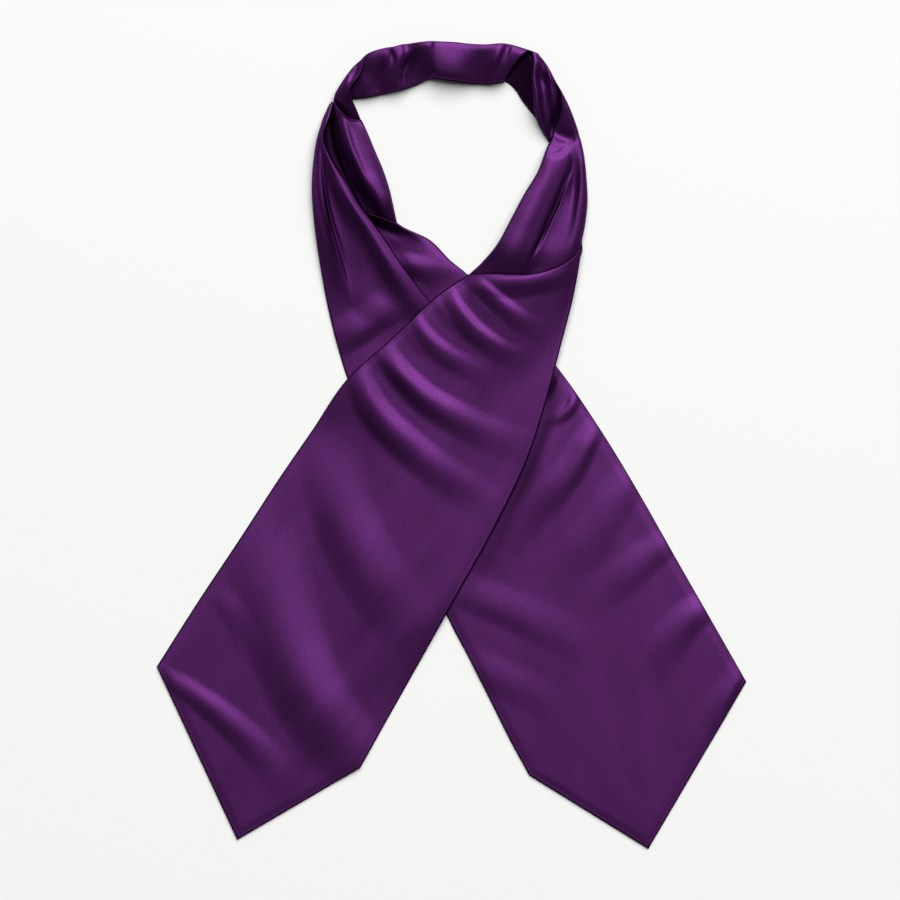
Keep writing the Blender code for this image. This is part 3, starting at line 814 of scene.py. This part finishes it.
# %% Right strand
RIGHT_STRAND = Stretch(
    columns=90, rows=220,
    sections=[
        Section(57, 256.5, 58, 255.5, (9, 10, 10.5, 10.5, 10.5, 10, 9)),
        Section(62, 249, 64, 246, (10, 12, 12.5, 12.5, 12, 11, 9)),
        Section(68, 237, 72, 233.5, (11, 13, 13, 13, 12.4, 11, 9)),
        Section(71.5, 226.5, 78, 221.5, (11.4, 12.6, 12.4, 12.2, 11.8, 11, 8.6)),
        Section(70, 215, 82.5, 209.5, (8.4, 9.2, 9.2, 9.2, 9, 8.6, 7)),
        Section(67, 207.5, 84, 204, (5.4, 5.8, 6, 6.4, 7, 7.8, 6.6)),
        Section(65.5, 202, 85.5, 199, (7, 8.6, 8.8, 8.8, 8.6, 8.4, 7)),
        Section(62, 194.5, 87.5, 189, (10.6, 12, 12, 10.8, 8.6, 9.2, 7.4)),
        Section(56.5, 180, 89, 173.5, (11.8, 13.6, 12.2, 10, 7.6, 9.4, 7.4)),
        Section(47.5, 165, 89.5, 159.5, (12.8, 14.6, 12.6, 9.6, 8.4, 9.8, 7)),
        Section(39, 149, 88, 145.5, (13.4, 15.4, 13, 9.4, 9, 10, 7)),
        Section(30, 132.5, 86, 135, (13, 15.4, 13.2, 9.6, 9.4, 10, 6.5)),
        Section(20, 120.5, 86, 127.5, (7.6, 10.6, 10.4, 7.4, 8.4, 8.4, 6)),
        Section(12, 113, 83, 120, (5, 6, 6.6, 6.2, 6, 6, 4.4)),
    ],
    first_bend=[],
    last_bend=[(24, 107.5), (37, 106.5), (50.5, 107), (62, 109), (71.5, 111.5), (78.5, 115.5)],
    folds=[
        Fold("deep crease", -3.2, 1.6, 3.6, 1, 0.5,
             [(80.5, 190.5), (78, 180), (73.5, 169.5), (69, 157.5), (64, 147), (59, 135), (53.5, 124),
              (49, 114)]),
        Fold("outer crease", -0.9, 3, 5, 1, 0.5,
             [(84, 201), (83, 188), (82, 171.5), (80, 156.5), (77.5, 142), (72.5, 127.5)]),
        Fold("soft arc", -0.7, 3, 3.5, 1, 0.5,
             [(61, 192.5), (66, 190.5), (71.5, 192), (75.5, 196), (77.5, 201)]),
        Fold("lip", 1, 1.8, 2.2, 1, 0.5,
             [(57.5, 256.5), (62, 249), (65, 242), (69, 236.5), (71.5, 231.5), (72, 223.5),
              (70.5, 215), (67.5, 207.5), (65, 202.5)]),
    ],
    # Painted shade: near-black colour along the closed deep crease.
    shades=[
        Fold("closed crease", 1, 0.9, 1.2, 2.6, 0.6,
             [(81, 186), (76, 173), (72, 162.5), (68, 153.5), (62.8, 143.5), (57, 133), (51.3, 122.5),
              (47, 110)]),
    ],
)
make_roll("right_strand_satin", RIGHT_STRAND, radius=1.4, node="right_strand",
          flat=(0.042, 0.150))

# %% [markdown]
# ## The two ends
#
# Each end is a flat bag: face, interlining and back, pressed to a little over 2 mm and thinner
# along the seam, where the two layers meet in a rounded edge. Just inside it the press leaves
# a trace of a ridge and a valley, a few hundredths of a millimetre.
#
# The upper end lies over the strands and over the under end, so its height table gives the
# height of its underside above the table: high at the gathered top, 4 to 5 mm on the crossing,
# and close to nothing where it lies on the table. Broad folds fan out from the gathers.

# %% End maker
EDGE_THICKNESS = 1.9
FULL_THICKNESS = 2.3
FULL_FROM = 7
SEAM_RADIUS = 1.0
RIDGE = (0.03, 1.3, 0.7)
VALLEY = (-0.02, 2.9, 0.8)


def pressed_line(edge, height, place, width):
    """Trace of the press along the seam: its height, its distance from the outline, its width."""
    return height * np.exp(-((edge - place) / width) ** 2)


def wall_thickness(edge):
    """Thickness of a pressed bag: thin at the seam, then a low ridge, a valley and full cloth."""
    wall = EDGE_THICKNESS + (FULL_THICKNESS - EDGE_THICKNESS) * soft_step(edge / FULL_FROM)
    wall = wall + pressed_line(edge, *RIDGE) + pressed_line(edge, *VALLEY)
    return wall * rounded(edge, SEAM_RADIUS)


def make_end(name, stretch, node, flat):
    """A pointed end: a wall over the height of its underside, with folds and a pressed seam."""
    s, t = columns_of(stretch), rows_of(stretch)
    plan = plan_of(stretch, s, t)
    x, y = plan[..., 0], plan[..., 1]
    edge = outline_distance(x, y)
    lift = heights_of(stretch, s, t)
    folds = folds_on(x, y, stretch.folds)
    wall = wall_thickness(edge)
    wall[[0, -1], :] = 0
    wall[:, [0, -1]] = 0
    top = np.maximum(lift + folds, 0) + wall
    # Painted shade: the turned seam and the listed shades darken the colour.
    shade = shade_of(x, y, edge, stretch)
    return cloth_piece(name, x, y, top, top - wall, shade, node, flat)


# %% Under end
UNDER_BLADE = Stretch(
    columns=108, rows=290,
    sections=[
        Section(-69.5, 42, 15.5, 108, (0, 0, 0, 0, 0, 0, 0)),
        Section(-48.5, -6.5, 40, 82.5, (0, 0, 0, 0, 0, 0, 0)),
        Section(-26.5, -57, 69.5, 51.5, (0, 0, 0, 0, 0.4, 0.4, 0)),
        Section(-3.5, -111, 99.5, 8, (0, 0.1, 0.3, 0.5, 0.7, 0.5, 0)),
        Section(12, -141, 124, -32.5, (0, 0.2, 0.4, 0.5, 0.5, 0.4, 0)),
        Section(25.5, -168, 147.5, -74, (0, 0.2, 0.4, 0.4, 0.4, 0.3, 0)),
        Section(38.5, -194, 171.5, -116, (0, 0.1, 0.2, 0.3, 0.3, 0.2, 0)),
        Section(51, -217, 194, -155.5, (0, 0, 0, 0, 0, 0, 0)),
    ],
    first_bend=[],
    last_bend=[(129.5, -265.5)],
    folds=[
        Fold("loop", 1.6, 5, 5, 1, 0.5,
             [(76.5, 43), (80, 36.5), (80, 28.5), (75.5, 22), (67.5, 17), (58, 13.5)]),
        Fold("first gather", 2.2, 7, 10, 1.9, 0.3,
             [(99, 20), (93, 9), (88, -1.5), (80, -16), (69.5, -29.5), (59.5, -41), (48.5, -55.5),
              (35, -70)]),
        Fold("second gather", 1.5, 12, 13, 1.6, 0.42,
             [(125.5, -3), (117.5, -19.5), (108, -36), (97.5, -55.5), (81.5, -75.5), (61.5, -94)]),
        Fold("third gather", 1.2, 9, 11, 1.8, 0.42,
             [(158, -54.5), (144, -63), (130.5, -72.5), (117.5, -84.5), (101, -97), (79.5, -111)]),
        Fold("fourth gather", 1.7, 10, 11, 1.7, 0.38,
             [(175.5, -95), (167, -105), (155, -115), (144, -129.5), (137, -144.5), (130.5, -162)]),
        Fold("corner fold", 1.5, 6, 10, 1.7, 0.4,
             [(195, -134.5), (186.5, -154.5), (178.5, -171), (171.5, -187), (162, -208.5)]),
        Fold("upper swell", 0.9, 16, 12, 1.2, 0.4,
             [(-7.5, -91), (7, -96.5), (26.5, -104.5), (51.5, -115.5), (81.5, -129.5), (101, -141)]),
        Fold("lower swell", 0.7, 14, 12, 1.2, 0.4,
             [(2.5, -136), (17.5, -145), (35, -155), (56.5, -166), (81.5, -176.5)]),
        Fold("beside the crossing", 1.7, 20, 9, 1, 0.5,
             [(79.5, 63), (76.5, 40), (70, 17), (61.5, -6.5), (51, -29.5), (38, -52.5), (23.5, -75.5),
              (5.5, -101.5)]),
    ],
    # Painted shade: a dark pocket by the crossing, and a painted shadow of the upper end on the under
    # end beside its edge.
    shades=[
        Fold("pocket", 0.9, 4, 4, 1, 0.5, [(70, 54), (68.5, 47), (66.5, 39.5), (63.5, 31), (61, 25)]),
        Fold("beside the upper end", 0.65, 9, 9, 1, 0.5,
             [(80, 84), (75.5, 64), (66, 27), (52.5, -13), (31, -57.5), (6.5, -101.5), (-14, -140)]),
    ],
)
make_end("under_end_satin", UNDER_BLADE, node="under_blade", flat=(0.145, 0.335))

# %% Upper end
UPPER_BLADE = Stretch(
    columns=108, rows=360,
    sections=[
        Section(11, 112.5, 86, 131.5, (4.5, 8.5, 10.5, 11.5, 11.5, 10, 6)),
        Section(-11.5, 96.5, 80.5, 99.5, (5.8, 7, 8, 8.6, 8.6, 7.4, 5)),
        Section(-39, 70.5, 72, 66, (5.6, 5.4, 5.5, 5.6, 5.6, 5.2, 4.8)),
        Section(-69, 43, 62, 28.5, (4.8, 4.4, 4.4, 4.4, 4.4, 4.5, 4.8)),
        Section(-91, 11, 49, -11, (0.4, 1.6, 3.2, 3.6, 3.7, 4, 4.6)),
        Section(-114, -22.5, 27.5, -55.5, (0.2, 0.6, 1.4, 3, 3.4, 3.8, 4.4)),
        Section(-139, -61, 3, -99.5, (0.2, 0.5, 0.6, 0.9, 1.7, 2.9, 3.8)),
        Section(-166, -101.5, -26, -151.5, (0.2, 0.5, 0.6, 0.6, 0.6, 0.5, 0.2)),
        Section(-194, -145.5, -60, -212, (0.1, 0.2, 0.2, 0.2, 0.2, 0.2, 0.1)),
    ],
    first_bend=[(25.5, 113), (38.5, 112.5), (51.5, 112.5), (63.5, 115), (73.5, 119), (80, 124)],
    last_bend=[(-141, -259.5)],
    folds=[
        Fold("lip", 2.3, 5.5, 13, 1, 0.5,
             [(7, 115.5), (15.5, 111), (24, 109.5), (32, 108.5), (42, 108.5), (51.5, 109.5),
              (61.5, 111.5), (71.5, 115.5), (80.5, 122), (90, 130.5)]),
        Fold("first gather", 1.6, 5, 7, 1.6, 0.42,
             [(7, 118), (15, 109), (21.5, 103), (28.5, 97), (36, 90.5), (44, 84.5), (53, 79.5),
              (65, 75.5)]),
        Fold("second gather", 1.8, 4.2, 7.5, 1.8, 0.38,
             [(-7.5, 110), (-1, 101), (3.5, 92.5), (9, 84.5), (16, 76.5), (24, 70), (33, 64), (45, 60),
              (61.5, 58)]),
        Fold("third gather", 1.3, 4.6, 6, 2, 0.33,
             [(-31.5, 94.5), (-23.5, 84), (-19.5, 76.5), (-14, 69.5), (-7.5, 63.5), (1, 57.5),
              (11, 52.5), (22, 47), (37, 42)]),
        Fold("long gather", 2.3, 7, 9, 1.9, 0.32,
             [(-51, 77.5), (-43, 64), (-38.5, 55.5), (-33, 47.5), (-26, 40), (-17, 32), (-7, 25.5),
              (4.5, 19), (19, 11.5), (35, 5), (51.5, -0.5), (68, -6)]),
        Fold("fifth gather", 2.3, 8, 10.5, 1.8, 0.3,
             [(-67, 64), (-61.5, 51), (-58, 40.5), (-53.5, 30), (-47, 20.5), (-38.5, 11), (-28.5, 2),
              (-17, -8), (-3, -18.5), (15, -30), (33, -42), (52, -54)]),
        Fold("middle swell", 2.3, 24, 20, 1.2, 0.45,
             [(-82.5, 17), (-81.5, -3), (-78.5, -24), (-73, -45.5), (-65, -65), (-54.5, -84.5),
              (-40, -104.5), (-22, -123.5), (0, -142)]),
        Fold("long swell", 4, 30, 32, 0.8, 0.5,
             [(-124.5, -22.5), (-124.5, -52.5), (-121, -75.5), (-115, -101.5), (-108, -128),
              (-99, -152), (-88, -172), (-76.5, -188), (-63, -205), (-48, -226), (-36, -246)]),
        Fold("corner fold", 1.4, 6, 6, 2.8, 0.42,
             [(-201, -141), (-188.5, -151), (-171.5, -162), (-153.5, -175.5), (-136, -191),
              (-122.5, -205.5), (-109.5, -223.5), (-99.5, -240)]),
        Fold("edge pucker", 0.5, 10, 9, 1.3, 0.4,
             [(-157.5, -94), (-148.5, -102.5), (-139, -117.5), (-132.5, -134.5), (-130, -151.5)]),
    ],
    # Painted shade: darker bands behind the gathers, on the side that turns away from the lamp.
    shades=[
        Fold("behind the first gather", 0.4, 4, 5, 1.4, 0.3,
             [(8.5, 112), (11, 102), (15, 93), (28.5, 82), (50, 74.5), (66, 72)]),
        Fold("behind the second gather", 0.5, 4, 5, 1.5, 0.3,
             [(-15, 100), (-11, 92), (0, 79), (15, 68), (37, 60), (56, 57)]),
        Fold("behind the third gather", 0.45, 4, 5, 1.5, 0.3,
             [(-36, 86), (-31, 77), (-22.5, 64.5), (-7, 53.5), (15, 44), (34, 39)]),
        Fold("behind the long gather", 0.5, 5, 7, 1.6, 0.3,
             [(-55, 68), (-49, 57), (-36, 43), (-20, 27), (0, 13), (22, 4), (44, -3)]),
        Fold("behind the fifth gather", 0.4, 6, 9, 1.5, 0.35,
             [(-69, 45), (-64.5, 29), (-51.5, 11), (-29.5, -8), (-2.5, -24.5), (22, -35), (44, -46)]),
    ],
)
make_end("upper_end_satin", UPPER_BLADE, node="upper_blade", flat=(0.140, 0.370))

# %% [markdown]
#
# The dressed cravat has to be the size of the frame. The script prints how many triangles it adds.

# %% Count the triangles and finish
print("triangles in all:", sum(TRIANGLES.values()))
